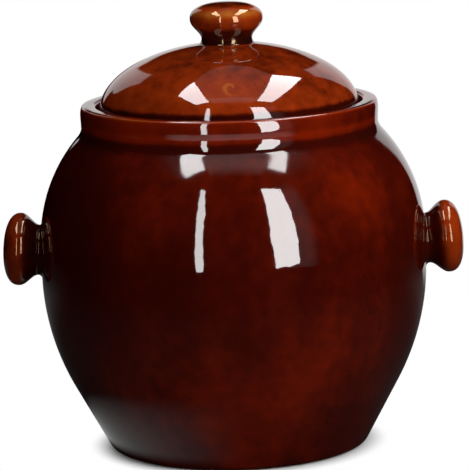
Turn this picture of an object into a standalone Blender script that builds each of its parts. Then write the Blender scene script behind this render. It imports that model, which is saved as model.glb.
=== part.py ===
"""Ceramic crock fermenter: stoneware crock with a water gutter, domed lid and weight stones.

Metres, +Z up, +X through the right handle. The foot stands on z = 0, centred on the Z axis.
"""

import math

import bmesh
import bpy
from mathutils import Vector

# Crock body
FOOT_RADIUS = 0.0775
FOOT_EDGE = 0.0054
FOOT_RING_WIDTH = 0.0120
FOOT_RECESS = 0.0025
TAPER_ANGLE = math.radians(28.3)
LOWER_ARC_RADIUS = 0.1450
BELLY_RADIUS = 0.1160
BELLY_BAND = 0.0180
SHOULDER_ARC_RADIUS = 0.0940
CROCK_WALL = 0.0080
FLOOR_THICKNESS = 0.0100
FLOOR_CORNER = 0.0120

# Collar and water gutter
COLLAR_RADIUS = 0.0893
COLLAR_HEIGHT = 0.0168
COLLAR_FILLET = 0.0132
COLLAR_WALL = 0.0076
RIM_ROLL_WIDTH = 0.0028
RIM_ROLL_DROP = 0.0052
GUTTER_DEPTH = 0.0130
GUTTER_FLOOR = 0.0070
CEILING_CORNER = 0.0060
LIP_WALL = 0.0060

# Lid
LID_RISE = 0.0398
LID_SKIRT = 0.0083
LID_WALL = 0.0055
VENT_RADIUS = 0.0040

# Knob, as luted on the lid and on both sides of the crock
KNOB_RADIUS = 0.0219
KNOB_CROWN = 0.0099
KNOB_UNDERSIDE = 0.0118
KNOB_NECK_RADIUS = 0.0152
KNOB_FLARE = 0.0026
KNOB_SHANK = 0.0080

# Handles
HANDLE_RISE = 0.0043
HANDLE_SINK = 0.0014
HANDLE_TILT = math.radians(4.0)

# Weight stones
STONE_RADIUS = 0.0800
STONE_THICKNESS = 0.0180
STONE_EDGE = 0.0030
THUMB_RADIUS = 0.0130

# Clearances
SEAT_GAP = 0.0003
LID_SIDE_GAP = 0.0038
LIP_SIDE_GAP = 0.0030
LIP_HEADROOM = 0.0035
STONE_SIDE_GAP = 0.0004
STONE_SPLIT = 0.0030

# Rounding of a rim, as a share of its wall
RIM_ROUNDING = 0.36

# Facets
TURN_STEPS = 56
KNOB_STEPS = 28
ARC_POINTS = 7
DOME_POINTS = 9
ROUND_STEPS = 2
ROLL_STEPS = 3
STONE_ARC_POINTS = 26
THUMB_POINTS = 9
VENT_POINTS = 16
EDGE_SEGMENTS = 2
MERGE_DISTANCE = 0.00001
REST_STEP = 0.00005
QUARTER_TURN = math.pi / 2
SHARP_EDGE = math.radians(40.0)

# Glaze and clay colours, linear
GLAZE_BROWN = (0.085, 0.018, 0.007, 1.0)
GLAZE_AMBER = (0.190, 0.050, 0.014, 1.0)
BARE_CLAY = (0.420, 0.310, 0.210, 1.0)
GLAZE_ROUGHNESS = 0.08
CLAY_ROUGHNESS = 0.75

# Heights and centres that follow from the sizes above, as (radius, height)
TAPER_HEIGHT = (
    BELLY_RADIUS - FOOT_RADIUS - LOWER_ARC_RADIUS * (1 - math.cos(TAPER_ANGLE))
) / math.tan(TAPER_ANGLE)
LOWER_CENTRE = Vector(
    (BELLY_RADIUS - LOWER_ARC_RADIUS, TAPER_HEIGHT + LOWER_ARC_RADIUS * math.sin(TAPER_ANGLE))
)
SHOULDER_CENTRE = Vector((BELLY_RADIUS - SHOULDER_ARC_RADIUS, LOWER_CENTRE.y + BELLY_BAND))
SHOULDER_TOP = SHOULDER_CENTRE.y + math.sqrt(
    SHOULDER_ARC_RADIUS**2 - (COLLAR_RADIUS - SHOULDER_CENTRE.x) ** 2
)
RIM_HEIGHT = SHOULDER_TOP + COLLAR_HEIGHT
GUTTER_HEIGHT = RIM_HEIGHT - GUTTER_DEPTH
CEILING_HEIGHT = GUTTER_HEIGHT - GUTTER_FLOOR
COLLAR_INNER = COLLAR_RADIUS - COLLAR_WALL
LID_RADIUS = COLLAR_INNER - LID_SIDE_GAP
LIP_RADIUS = LID_RADIUS - LID_WALL - LIP_SIDE_GAP
THROAT_RADIUS = LIP_RADIUS - LIP_WALL
LID_SEAT = GUTTER_HEIGHT + SEAT_GAP
HANDLE_HEIGHT = LOWER_CENTRE.y + BELLY_BAND / 2 + HANDLE_RISE


def arc(centre, radius, start, stop, count=ARC_POINTS, rise=None):
    """Points of an arc between two angles, both ends included: elliptic where a rise is given."""
    rise = radius if rise is None else rise
    angles = [start + (stop - start) * step / count for step in range(count + 1)]
    return [centre + Vector((radius * math.cos(turn), rise * math.sin(turn))) for turn in angles]


def rounded(before, corner, after, radius):
    """Points of the arc that rounds the corner between two straight legs."""
    back = (before - corner).normalized()
    onward = (after - corner).normalized()
    half_angle = back.angle(onward) / 2
    reach = radius / math.tan(half_angle)
    centre = corner + (back + onward).normalized() * radius / math.sin(half_angle)
    first = corner + back * reach - centre
    last = corner + onward * reach - centre
    start = math.atan2(first.y, first.x)
    turn = math.atan2(last.y, last.x) - start
    turn = (turn + math.pi) % math.tau - math.pi
    return arc(centre, radius, start, start + turn, ROUND_STEPS)


def softened(corners):
    """A path of straight legs with each inner corner (radius, height, rounding) made round."""
    places = [Vector(corner[:2]) for corner in corners]
    path = [places[0]]
    for before, corner, after, size in zip(places, places[1:], places[2:], corners[1:]):
        path += rounded(before, corner, after, size[2])
    return path + [places[-1]]


def outer_skin(grow=0.0):
    """The crock's outside from under the collar down to the taper, grown by a gap."""
    fillet = COLLAR_FILLET - grow
    shoulder = SHOULDER_ARC_RADIUS + grow
    fillet_radius = COLLAR_RADIUS + COLLAR_FILLET
    fillet_rise = math.sqrt(
        (SHOULDER_ARC_RADIUS + COLLAR_FILLET) ** 2 - (fillet_radius - SHOULDER_CENTRE.x) ** 2
    )
    fillet_centre = Vector((fillet_radius, SHOULDER_CENTRE.y + fillet_rise))
    touch = math.atan2(fillet_rise, fillet_radius - SHOULDER_CENTRE.x)
    path = arc(fillet_centre, fillet, math.pi, math.pi + touch, 2 * ROUND_STEPS)
    path += arc(SHOULDER_CENTRE, shoulder, touch, 0.0)[1:]
    path += arc(LOWER_CENTRE, LOWER_ARC_RADIUS + grow, 0.0, -TAPER_ANGLE)
    return path


def rim_roll():
    """The rim's outer edge, which rolls further down than across."""
    centre = Vector((COLLAR_RADIUS - RIM_ROLL_WIDTH, RIM_HEIGHT - RIM_ROLL_DROP))
    return arc(centre, RIM_ROLL_WIDTH, QUARTER_TURN, 0.0, ROLL_STEPS, RIM_ROLL_DROP)


def inner_wall():
    """The crock's inside from the floor up to the ceiling under the gutter."""
    lower = LOWER_ARC_RADIUS - CROCK_WALL
    shoulder = SHOULDER_ARC_RADIUS - CROCK_WALL
    taper_top = arc(LOWER_CENTRE, lower, -TAPER_ANGLE, 0.0)
    drop = taper_top[0].y - FLOOR_THICKNESS
    floor_corner = Vector((taper_top[0].x - drop * math.tan(TAPER_ANGLE), FLOOR_THICKNESS))
    path = rounded(Vector((0.0, FLOOR_THICKNESS)), floor_corner, taper_top[0], FLOOR_CORNER)
    path += taper_top
    corner_height = CEILING_HEIGHT - CEILING_CORNER - SHOULDER_CENTRE.y
    corner_reach = math.sqrt((shoulder - CEILING_CORNER) ** 2 - corner_height**2)
    corner_centre = SHOULDER_CENTRE + Vector((corner_reach, corner_height))
    touch = math.atan2(corner_height, corner_reach)
    path += arc(SHOULDER_CENTRE, shoulder, 0.0, touch)
    path += arc(corner_centre, CEILING_CORNER, touch, QUARTER_TURN, ROUND_STEPS)[1:]
    return path


def lid_dome(grow=0.0):
    """The lid's half-elliptic dome from its crown to the top of the skirt, grown by a gap."""
    centre = Vector((0.0, LID_SKIRT))
    return arc(centre, LID_RADIUS + grow, QUARTER_TURN, 0.0, DOME_POINTS, LID_RISE + grow)


def dome_height(radius, grow):
    """Height of the dome above the skirt's foot at a radius."""
    share = radius / (LID_RADIUS + grow)
    return LID_SKIRT + (LID_RISE + grow) * math.sqrt(1 - share**2)


def crock_profile():
    """Half section of the crock: up its inside, over the lip, gutter and rim, and down its outside."""
    lip_top = LID_SEAT + dome_height(LIP_RADIUS, -LID_WALL) - LIP_HEADROOM
    lip_round = RIM_ROUNDING * LIP_WALL
    rim_round = RIM_ROUNDING * COLLAR_WALL
    inside = inner_wall()
    roll = rim_roll()
    outside = outer_skin()
    ring_inner = FOOT_RADIUS - FOOT_RING_WIDTH
    mouth = softened([
        (*inside[-1], 0.0),
        (THROAT_RADIUS, CEILING_HEIGHT, lip_round),
        (THROAT_RADIUS, lip_top, lip_round),
        (LIP_RADIUS, lip_top, lip_round),
        (LIP_RADIUS, GUTTER_HEIGHT, LIP_SIDE_GAP),
        (COLLAR_INNER, GUTTER_HEIGHT, LID_SIDE_GAP),
        (COLLAR_INNER, RIM_HEIGHT, rim_round),
        (*roll[0], 0.0),
    ])
    foot = softened([
        (*outside[-1], 0.0),
        (FOOT_RADIUS, 0.0, FOOT_EDGE),
        (ring_inner, 0.0, FOOT_RECESS),
        (ring_inner - FOOT_RECESS, FOOT_RECESS, FOOT_RECESS),
        (0.0, FOOT_RECESS, 0.0),
    ])
    return [Vector((0.0, FLOOR_THICKNESS))] + inside + mouth[1:-1] + roll + outside + foot[1:]


def lid_profile():
    """Half section of the lid, from its skirt's foot at height 0."""
    edge = RIM_ROUNDING * LID_WALL
    outer = lid_dome()
    inner = lid_dome(-LID_WALL)
    skirt = softened([
        (*outer[-1], 0.0),
        (LID_RADIUS, 0.0, edge),
        (LID_RADIUS - LID_WALL, 0.0, edge),
        (*inner[-1], 0.0),
    ])
    return outer + skirt[1:-1] + inner[::-1]


def knob_profile():
    """Half section of a knob, with its seat at height 0 and a shank below for the seat's cut."""
    widest = KNOB_FLARE + KNOB_UNDERSIDE
    swell = KNOB_RADIUS - KNOB_NECK_RADIUS
    path = arc(Vector((0.0, widest)), KNOB_RADIUS, QUARTER_TURN, 0.0, rise=KNOB_CROWN)
    for step in range(1, ARC_POINTS):
        share = step / ARC_POINTS
        ease = (1 + math.cos(math.pi * share)) / 2
        path.append((KNOB_NECK_RADIUS + swell * ease, widest - KNOB_UNDERSIDE * share))
    flare_centre = Vector((KNOB_NECK_RADIUS + KNOB_FLARE, KNOB_FLARE))
    path += arc(flare_centre, KNOB_FLARE, math.pi, 3 * QUARTER_TURN, ROUND_STEPS)
    path.append((KNOB_NECK_RADIUS + KNOB_FLARE, -KNOB_SHANK))
    path.append((0.0, -KNOB_SHANK))
    return path


def stone_height():
    """Lowest height at which the stones' round edge clears the floor and the tapering wall."""
    wall = [Vector((0.0, FLOOR_THICKNESS))] + inner_wall()
    centre = Vector((STONE_RADIUS - STONE_EDGE, STONE_EDGE))
    edge = arc(centre, STONE_EDGE, -QUARTER_TURN, 0.0)

    def room(place, height):
        for low, high in zip(wall, wall[1:]):
            if low.y < height + place.y <= high.y:
                share = (height + place.y - low.y) / (high.y - low.y)
                return low.x + share * (high.x - low.x) - place.x
        return -place.x

    height = FLOOR_THICKNESS + SEAT_GAP
    while min(room(place, height) for place in edge) < STONE_SIDE_GAP:
        height += REST_STEP
    return height


def principled(name, colour, roughness):
    """A plain material for one piece."""
    material = bpy.data.materials.new(name)
    material.use_nodes = True
    shader = material.node_tree.nodes["Principled BSDF"]
    shader.inputs["Base Color"].default_value = colour
    shader.inputs["Roughness"].default_value = roughness
    material.diffuse_color = colour
    return material


def add_object(name, mesh, collection, material=None):
    """Put a mesh in a collection under its own name."""
    thing = bpy.data.objects.new(name, mesh)
    collection.objects.link(thing)
    if material:
        mesh.materials.append(material)
    return thing


def turned(name, profile, steps, collection, material=None):
    """A piece turned about its own Z axis from a half section in (radius, height)."""
    mesh = bpy.data.meshes.new(name)
    points = [(place[0], 0.0, place[1]) for place in profile]
    edges = [(first, first + 1) for first in range(len(points) - 1)]
    mesh.from_pydata(points, edges, [])
    thing = add_object(name, mesh, collection, material)
    screw = thing.modifiers.new("turn", "SCREW")
    screw.axis = "Z"
    screw.angle = math.tau
    screw.steps = steps
    screw.render_steps = steps
    screw.use_merge_vertices = True
    screw.merge_threshold = MERGE_DISTANCE
    screw.use_smooth_shade = True
    return thing


def cut(thing, cutter):
    """Take a cutter's solid out of a piece."""
    boolean = thing.modifiers.new("cut_" + cutter.name, "BOOLEAN")
    boolean.operation = "DIFFERENCE"
    boolean.solver = "EXACT"
    boolean.object = cutter


def hidden(cutter):
    """Show a cutter as wire only."""
    cutter.hide_render = True
    cutter.display_type = "WIRE"
    return cutter


def build_crock(parts):
    """The crock: one turned shell with foot ring, belly, collar, gutter and throat."""
    glaze = principled("crock_glaze", GLAZE_BROWN, GLAZE_ROUGHNESS)
    return turned("crock", crock_profile(), TURN_STEPS, parts, glaze)


def build_handles(parts, cutters):
    """Two knobs luted to the belly, each cut to the belly's curve and tilted up a little."""
    skin = outer_skin(SEAT_GAP)
    core = [Vector((0.0, skin[0].y))] + skin + [Vector((0.0, skin[-1].y))]
    belly = hidden(turned("belly_cutter", core, TURN_STEPS, cutters))
    for name, side in (("right_handle", 1), ("left_handle", -1)):
        glaze = principled(name + "_glaze", GLAZE_AMBER, GLAZE_ROUGHNESS)
        handle = turned(name, knob_profile(), KNOB_STEPS, parts, glaze)
        handle.location = (side * (BELLY_RADIUS - HANDLE_SINK), 0.0, HANDLE_HEIGHT)
        handle.rotation_euler = (0.0, side * (QUARTER_TURN - HANDLE_TILT), 0.0)
        cut(handle, belly)


def build_lid(parts, cutters):
    """The domed lid with two gas notches in its skirt, and the knob luted on its crown."""
    glaze = principled("lid_glaze", GLAZE_AMBER, GLAZE_ROUGHNESS)
    lid = turned("lid", lid_profile(), TURN_STEPS, parts, glaze)
    lid.location = (0.0, 0.0, LID_SEAT)

    bar = bpy.data.meshes.new("vent_cutter")
    shape = bmesh.new()
    bmesh.ops.create_cone(
        shape, cap_ends=True, segments=VENT_POINTS,
        radius1=VENT_RADIUS, radius2=VENT_RADIUS, depth=2 * COLLAR_RADIUS,
    )
    shape.to_mesh(bar)
    shape.free()
    vent = hidden(add_object("vent_cutter", bar, cutters))
    vent.rotation_euler = (0.0, QUARTER_TURN, 0.0)
    vent.location = lid.location
    cut(lid, vent)

    crown = lid_dome(SEAT_GAP)
    core = crown + [Vector((0.0, crown[-1].y))]
    dome = hidden(turned("dome_cutter", core, TURN_STEPS, cutters))
    dome.location = lid.location
    knob_glaze = principled("lid_knob_glaze", GLAZE_AMBER, GLAZE_ROUGHNESS)
    knob = turned("lid_knob", knob_profile(), KNOB_STEPS, parts, knob_glaze)
    knob.parent = lid
    knob.location = (0.0, 0.0, LID_SKIRT + LID_RISE)
    cut(knob, dome)


def build_stones(parts):
    """Two half-round stones that press the food down, with a thumb hole where they meet."""
    rest = stone_height()
    outer_angle = math.acos(STONE_SPLIT / 2 / STONE_RADIUS)
    thumb_angle = math.acos(STONE_SPLIT / 2 / THUMB_RADIUS)
    origin = Vector((0.0, 0.0))
    outline = arc(origin, STONE_RADIUS, -outer_angle, outer_angle, STONE_ARC_POINTS)
    outline += arc(origin, THUMB_RADIUS, thumb_angle, -thumb_angle, THUMB_POINTS)
    for name, side in (("right_weight_stone", 1), ("left_weight_stone", -1)):
        clay = principled(name + "_clay", BARE_CLAY, CLAY_ROUGHNESS)
        mesh = bpy.data.meshes.new(name)
        shape = bmesh.new()
        corners = [shape.verts.new((side * place.x, place.y, 0.0)) for place in outline]
        base = shape.faces.new(corners)
        top = bmesh.ops.extrude_face_region(shape, geom=[base])["geom"]
        raised = [item for item in top if isinstance(item, bmesh.types.BMVert)]
        bmesh.ops.translate(shape, verts=raised, vec=(0.0, 0.0, STONE_THICKNESS))
        bmesh.ops.recalc_face_normals(shape, faces=shape.faces)
        shape.to_mesh(mesh)
        shape.free()
        stone = add_object(name, mesh, parts, clay)
        stone.location = (0.0, 0.0, rest)
        edge = stone.modifiers.new("worn_edge", "BEVEL")
        edge.width = STONE_EDGE
        edge.segments = EDGE_SEGMENTS
        edge.limit_method = "ANGLE"
        edge.angle_limit = SHARP_EDGE


def main():
    """Clear the scene and build the crock fermenter."""
    for thing in list(bpy.data.objects):
        bpy.data.objects.remove(thing)
    parts = bpy.data.collections.new("ceramic_crock_fermenter")
    cutters = bpy.data.collections.new("cutters")
    bpy.context.scene.collection.children.link(parts)
    bpy.context.scene.collection.children.link(cutters)
    build_crock(parts)
    build_handles(parts, cutters)
    build_lid(parts, cutters)
    build_stones(parts)


main()
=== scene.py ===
"""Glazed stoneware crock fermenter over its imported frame: fine surfaces, glazes, studio and camera."""

import math

import bmesh
import bpy
from bpy.props import FloatProperty, FloatVectorProperty, PointerProperty
from bpy.types import Operator, Panel, PropertyGroup
from mathutils import Euler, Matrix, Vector, noise


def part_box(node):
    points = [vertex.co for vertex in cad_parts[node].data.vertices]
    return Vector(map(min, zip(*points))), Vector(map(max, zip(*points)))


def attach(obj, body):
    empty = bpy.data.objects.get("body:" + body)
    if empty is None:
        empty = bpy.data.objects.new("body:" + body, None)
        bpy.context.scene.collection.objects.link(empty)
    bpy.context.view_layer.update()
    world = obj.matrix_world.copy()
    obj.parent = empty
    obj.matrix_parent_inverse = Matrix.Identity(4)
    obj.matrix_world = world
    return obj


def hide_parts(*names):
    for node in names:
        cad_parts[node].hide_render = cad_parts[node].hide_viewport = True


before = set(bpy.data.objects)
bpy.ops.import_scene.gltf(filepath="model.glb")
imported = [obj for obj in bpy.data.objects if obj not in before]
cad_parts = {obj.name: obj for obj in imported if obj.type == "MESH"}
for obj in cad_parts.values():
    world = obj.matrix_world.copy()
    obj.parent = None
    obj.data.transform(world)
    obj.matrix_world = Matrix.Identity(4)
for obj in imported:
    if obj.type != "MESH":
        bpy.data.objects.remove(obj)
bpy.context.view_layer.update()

bl_info = {
    "name": "Ceramic Crock Fermenter",
    "version": (1, 0, 0),
    "blender": (4, 5, 0),
    "location": "View3D > Sidebar > Crock",
    "description": "Builds a glazed stoneware fermenting crock with its lid, handles and weight stones",
    "category": "Object",
}

CROCK_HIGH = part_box("crock")[1]
LID_LOW, LID_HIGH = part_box("lid")
STONE_LOW, STONE_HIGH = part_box("right_weight_stone")

# Fineness of the turned surfaces, metres and counts
LEG_STEP = 0.0030
ARC_STEP = 0.0022
ROUND_STEPS = 7
CROCK_TURN = 144
LID_TURN = 120
KNOB_TURN = 72
VENT_STEPS = 9
CROWN_STEPS = 18
UNDERSIDE_STEPS = 14
WORN_EDGE_STEPS = 5
SEAT_TRIES = 4
FLOOR_STEPS = 96
QUARTER = math.pi / 2
ON_AXIS = 1e-6

# Forming of the clay, metres and shares
EDGE_SHARE = 0.36
LIP_CORNER = 0.0030
GUTTER_CORNER = 0.0019
WAIST_ABOVE = 0.0083
WAIST_BELOW = 0.0010
WAIST_FOOT_SHARE = 0.55
THROWN_LOW = 0.03
THROWN_HIGH = 0.18
THROWN_PITCH = 0.0075
VENT_ROOM = 1.15
SKIRT_REACH = 1.5
WORN_EDGE_ANGLE = math.radians(40.0)

# Slow waves of the glaze: how close they lie, their shares, and the radius inside which there are none
SLOW_WAVES = 17.0
QUICK_WAVES = 46.0
WAVE_SHIFT = Vector((3.0, 7.0, 1.0))
SLOW_SHARE = 0.36
QUICK_SHARE = 0.14
KNOB_WAVES = 1.7
CROCK_CALM = 0.06
LID_CALM = 0.002
KNOB_CALM = 0.001

# Depth of the fine relief, metres
GLAZE_BUMP = 0.00006
CLAY_BUMP = 0.00035

# Glaze on bends: how fast it thins on edges and pools in hollows, the reach of a bend, and a handle's share
THIN_GAIN = 0.0005
POOL_GAIN = 0.0016
BREAK_REACH = 0.0032
HANDLE_EDGE_SHARE = 0.8

# Glaze thinness: 0 pooled and nearly black, 1 thin and amber
INSIDE_THINNESS = 0.50
BELLY_THINNESS = 0.37
HANDLE_THINNESS = 0.51
LID_THINNESS = 0.55
KNOB_THINNESS = 0.54
FINGER_THINNESS = 0.17

# The rim's flat top: how close to the top it begins, metres, and how much darker it is towards the lid, from
# pooled glaze and a painted shadow of the lid
RIM_FLAT = 0.0001
RIM_TOP_POOL_AND_PAINTED_SHADE = 0.12

# Glaze colour that gets lighter or darker between two heights, from thinner and pooled glaze and, on the
# lid's low edge, painted shade: how much, where it starts and where it is all there
SHOULDER_THIN = (0.06, 0.10, 0.175)
TAPER_THIN = (0.03, 0.08, 0.01)
COLLAR_THIN = (0.095, -0.0026, 0.0010)
# The handles: darker from the widest part down to the neck
HANDLE_UNDERSIDE_DARKENING = (0.24, 0.0150, 0.0070)
LID_CROWN_POOL = (0.05, 0.030, 0.044)
# The lid's low edge by the rim: pooled glaze and a painted shadow of the rim, darker down to the edge
LID_EDGE_POOL_AND_PAINTED_SHADE = (0.28, 0.0165, 0.0130)
KNOB_JOINT_THIN = (0.30, 0.0009, 0.0002)
KNOB_NECK_POOL = (0.34, -0.0030, -0.0105)
KNOB_CROWN_POOL = (0.18, 0.0060, 0.0090)

# Bands of thin or pooled glaze, and one painted reflection: how much, the middle height and the reach
# A pale band low on the collar: lighter glaze colour that paints in a reflection
COLLAR_PAINTED_REFLECTION = (0.10, 0.0020, 0.0020)
FILLET_POOL = (0.14, -0.0038, 0.0026)
RIM_EDGE_THIN = (0.24, -0.0003, 0.0006)
KNOB_AMBER = (0.26, 0.0042, 0.0030)

# Thinness over which each colour of the glaze takes over from the one before
DEEP_ONSET = (0.05, 0.38)
WARM_ONSET = (0.34, 0.66)
AMBER_ONSET = (0.62, 1.0)

# Least roughness of the glaze, and the way in which one cloud of noise is moved off another
SMOOTHEST_GLAZE = 0.012
CLOUD_SHIFT = (1.0, 0.7, 1.3)

# Where the glaze was wiped off, so that the piece could stand in the kiln, and its soft and ragged edge
FOOT_BARE_HEIGHT = 0.0026
FOOT_BARE_INSET = 0.003
LID_BARE_HEIGHT = 0.0024
BARE_EDGE = (0.42, 0.58)
RAGGEDNESS = 0.5

# Distances of the panels and flags from the crock's axis, or heights over the floor, metres
PANEL_AWAY = 1.735
PANEL_OVER = 2.0
CLOTH_OVER = 2.02
FLAG_AWAY = 0.08
WING_OVER = 0.25

# Where the front cloth is dark and where it is at its brightest, along y
FRONT_CLOTH_FADE = (-1.25, -0.80)

# Soft lamps: place, width and height
LAMPS = {
    "key": ((0.95, -0.95, 0.80), 0.7, 0.9),
    "low": ((0.05, -1.30, 0.06), 0.9, 0.4),
    "top": ((0.42, -0.12, 1.25), 0.9, 0.9),
    "fill": ((-1.05, -0.90, 0.75), 0.7, 0.9),
    "back": ((-0.35, 1.35, 1.05), 0.9, 0.9),
}
LAMP_AIM = Vector((0.0, 0.0, 0.13))

WHITE = (1.0, 1.0, 1.0, 1.0)

# White backdrop in the gloss: angles from straight behind in radians, heights as the sine of the angle up
BACKDROP_LEVEL = 0.90
BACKDROP_EDGE = 0.02
BACKDROP_TOP = 0.60
BACKDROP_SLOPE = 1.6
BACKDROP_SLOPE_START = 0.24
SIDES_MEET = (-0.1, 0.1)
LEFT_BOTTOM = 0.03
RIGHT_BOTTOM = -1.0

# Parts of the backdrop that change: from, to, value before and value after
MIDDLE_DIP = (0.06, 0.22, 0.165, 0.27)
LEFT_REACH = (0.20, 0.36, 0.54, 0.65)
RIGHT_REACH = (-0.05, 0.40, 0.46, 0.60)

# Pale strips at the right and low in front: soft first edge, soft last edge and brightness
SIDE_STRIP_TURN = ((2.22, 2.38), (2.45, 2.61), 0.30)
SIDE_STRIP_HEIGHT = ((-0.28, -0.12), (0.62, 0.78))
LOW_STRIP_TURN = ((2.2, 2.4), (3.9, 4.1), 0.8)
LOW_STRIP_HEIGHT = ((-0.272, -0.248), (-0.224, -0.200))

# Floor, and its bright parts in the gloss: a sweep far behind, a ring near the foot and a faint part behind
FLOOR_RADIUS = 0.85
FLOOR_DROP = 0.0002
FLOOR_WHITE = (0.074, 0.092)
FLOOR_GRAIN = 0.98
FLOOR_BOUNCE = (0.10, 0.80, 0.03, 0.0)
SWEEP_TURN = ((0.05, 0.10), (0.62, 0.68), 0.95)
SWEEP_START = (0.4, 0.7)
NEAR_SIDE = (-0.92, 0.12, 0.44, 0.0)
NEAR_RING = ((0.079, 0.087), (0.080, 0.136))
BEHIND_START = (0.10, 0.40, 0.0, 0.08)
BEHIND_END = (0.40, 0.75, 1.0, 0.0)

# Camera
CAMERA_PIVOT = Vector((0.0, 0.0, 0.110))
CAMERA_AIM = Vector((0.00115, 0.0031, 0.1262))
FARTHEST_VIEW = 50.0
SENSOR_MILLIMETRES = 36.0

# Where the kiln's flame thinned the glaze, or let it gather: place, reach and how much thinner
CROCK_FLASHES = (
    ((0.080, -0.055, 0.184), 0.060, 0.06),
    ((-0.085, -0.050, 0.172), 0.085, -0.09),
    ((-0.010, -0.092, 0.050), 0.085, 0.13),
    ((0.060, -0.090, 0.075), 0.060, 0.05),
    ((0.085, -0.050, 0.030), 0.060, -0.05),
    ((-0.060, -0.066, 0.203), 0.040, 0.07),
    ((0.078, -0.045, 0.204), 0.062, -0.16),
    ((0.040, 0.100, 0.080), 0.070, 0.08),
    ((-0.070, 0.070, 0.178), 0.065, 0.06),
)
LID_FLASHES = (
    ((0.058, -0.040, 0.222), 0.060, -0.06),
    ((-0.010, -0.062, 0.226), 0.035, 0.03),
    ((0.020, 0.055, 0.230), 0.050, 0.05),
)
# Painted light and shade on the handles, the right one lighter and the left one darker as the light falls
# from the right: how far out from the seat, reach and amount
HANDLE_PAINTED_LIGHT_OUT = 0.03
HANDLE_PAINTED_LIGHT_REACH = 0.06
HANDLE_PAINTED_LIGHT_AMOUNT = 0.06

# The swirl that a finger left on the lid: its middle, the turn of its winding, its edges and its end
FINGER_MARK = (0.0020, -0.0664, 0.2251)
FINGER_WIND = 0.0013
FINGER_EDGE = (0.1, 0.9)
FINGER_END = (0.0045, 0.0080)

# Haze in the gloss: the heights over which it comes and goes, metres, and how strong it is
SHOULDER_HAZE = ((0.166, 0.182), (0.189, 0.194))
SHOULDER_HAZINESS = 0.045
SHOULDER_SMEAR = 0.15
RIM_HAZE = ((0.2071, 0.2079), (0.2081, 0.2084))
RIM_HAZINESS = 0.16


def length(name, description, default):
    """A size in metres."""
    return FloatProperty(name=name, description=description, default=default, unit="LENGTH", precision=5)


def angle(name, description, degrees):
    """An angle, given in degrees."""
    return FloatProperty(name=name, description=description, default=math.radians(degrees), unit="ROTATION")


def share(name, description, default):
    """A plain number."""
    return FloatProperty(name=name, description=description, default=default, precision=3)


def colour(name, description, default):
    """A linear colour."""
    return FloatVectorProperty(
        name=name, description=description, default=default, subtype="COLOR", size=3, min=0.0, max=1.0
    )


class CrockSizes(PropertyGroup):
    """Sizes of the crock itself."""

    foot_radius: length("Foot radius", "Where the taper would meet the ground", 0.0775)
    foot_edge: length("Foot edge", "Rounding of the foot's outer edge", 0.0054)
    foot_ring: length("Foot ring", "Width of the ring that it stands on", 0.0120)
    foot_recess: length("Foot recess", "Depth of the hollow inside the foot ring", 0.0025)
    taper: angle("Taper", "Slope of the wall above the foot", 28.3)
    lower_arc: length("Lower arc", "Radius of the curve below the belly", 0.1450)
    belly_radius: length("Belly radius", "Widest radius of the crock", CROCK_HIGH.x)
    belly_band: length("Belly band", "Height of the upright band at the belly", 0.0180)
    shoulder_arc: length("Shoulder arc", "Radius of the curve of the shoulder", 0.0940)
    wall: length("Wall", "Thickness of the body", 0.0080)
    floor: length("Floor", "Thickness of the floor", 0.0100)
    floor_corner: length("Floor corner", "Rounding inside, round the floor", 0.0120)
    collar_radius: length("Collar radius", "Outside of the collar", 0.0893)
    collar_wall: length("Collar wall", "Thickness of the collar", 0.0094)
    collar_fillet: length("Collar fillet", "Rounding under the collar", 0.0100)
    collar_waist: length("Collar waist", "How far the collar draws in above the fillet", 0.00031)
    rim_height: length("Rim height", "Top of the rim", 0.20848)
    rim_drop: length("Rim drop", "Height of the rim's outer rounding", 0.0052)
    rim_inset: length("Rim inset", "Width of the rim's outer rounding", 0.0017)
    rim_bend: length("Rim bend", "Rounding of the rim's inner edge", 0.0015)
    gutter_depth: length("Gutter depth", "Depth of the water gutter under the rim", 0.0130)
    gutter_floor: length("Gutter floor", "Thickness of the gutter's floor", 0.0070)
    ceiling_corner: length("Ceiling corner", "Rounding inside, under the gutter", 0.0060)
    lip_radius: length("Lip radius", "Outside of the inner lip", 0.0694)
    lip_wall: length("Lip wall", "Thickness of the inner lip", 0.0060)
    lip_height: length("Lip height", "Top of the inner lip", CROCK_HIGH.z)
    throwing: length("Throwing rings", "Depth of the rings that the potter's fingers leave inside", 0.00028)


class LidSizes(PropertyGroup):
    """Sizes of the lid."""

    radius: length("Radius", "Outside of the skirt", LID_HIGH.x)
    seat: length("Seat", "Height of the skirt's foot", LID_LOW.z)
    rise: length("Rise", "Height of the dome above the skirt", 0.0398)
    skirt: length("Skirt", "Height of the upright skirt", 0.0083)
    wall: length("Wall", "Thickness of the lid", 0.0055)
    vent: length("Vent", "Radius of the gas notches in the skirt", 0.0040)


class KnobSizes(PropertyGroup):
    """Sizes of the knob, which is on the lid and on both sides of the crock."""

    radius: length("Radius", "Widest radius of the knob", 0.0219)
    crown: length("Crown", "Height of its rounded end", 0.0099)
    underside: length("Underside", "Length of the curve down to the neck", 0.0118)
    neck: length("Neck", "Radius of the neck", 0.0152)
    fullness: share("Fullness", "Roundness of the crown: 1 is an ellipse, less is fuller", 0.86)
    droop: share("Droop", "1 is an even curve down to the neck, more is fuller below", 1.12)
    flare: length("Flare", "Rounding where the neck meets the wall", 0.0026)
    sink: length("Sink", "How far the joint goes into the wall", 0.00015)
    handle_inset: length("Handle inset", "How far a handle's seat lies inside the belly", 0.0015)
    handle_height: length("Handle height", "Height of the handles", 0.12136)
    handle_tilt: angle("Handle tilt", "How far the handles look up", 4.0)


class StoneSizes(PropertyGroup):
    """Sizes of the two weight stones."""

    radius: length("Radius", "Radius of the pair", 0.0800)
    thickness: length("Thickness", "Thickness of a stone", STONE_HIGH.z - STONE_LOW.z)
    rest: length("Rest", "Height at which they lie", STONE_LOW.z)
    edge: length("Edge", "Rounding of the edges", 0.0030)
    thumb: length("Thumb hole", "Radius of the hole where they meet", 0.0130)
    split: length("Split", "Gap between the two", 0.0030)


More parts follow.
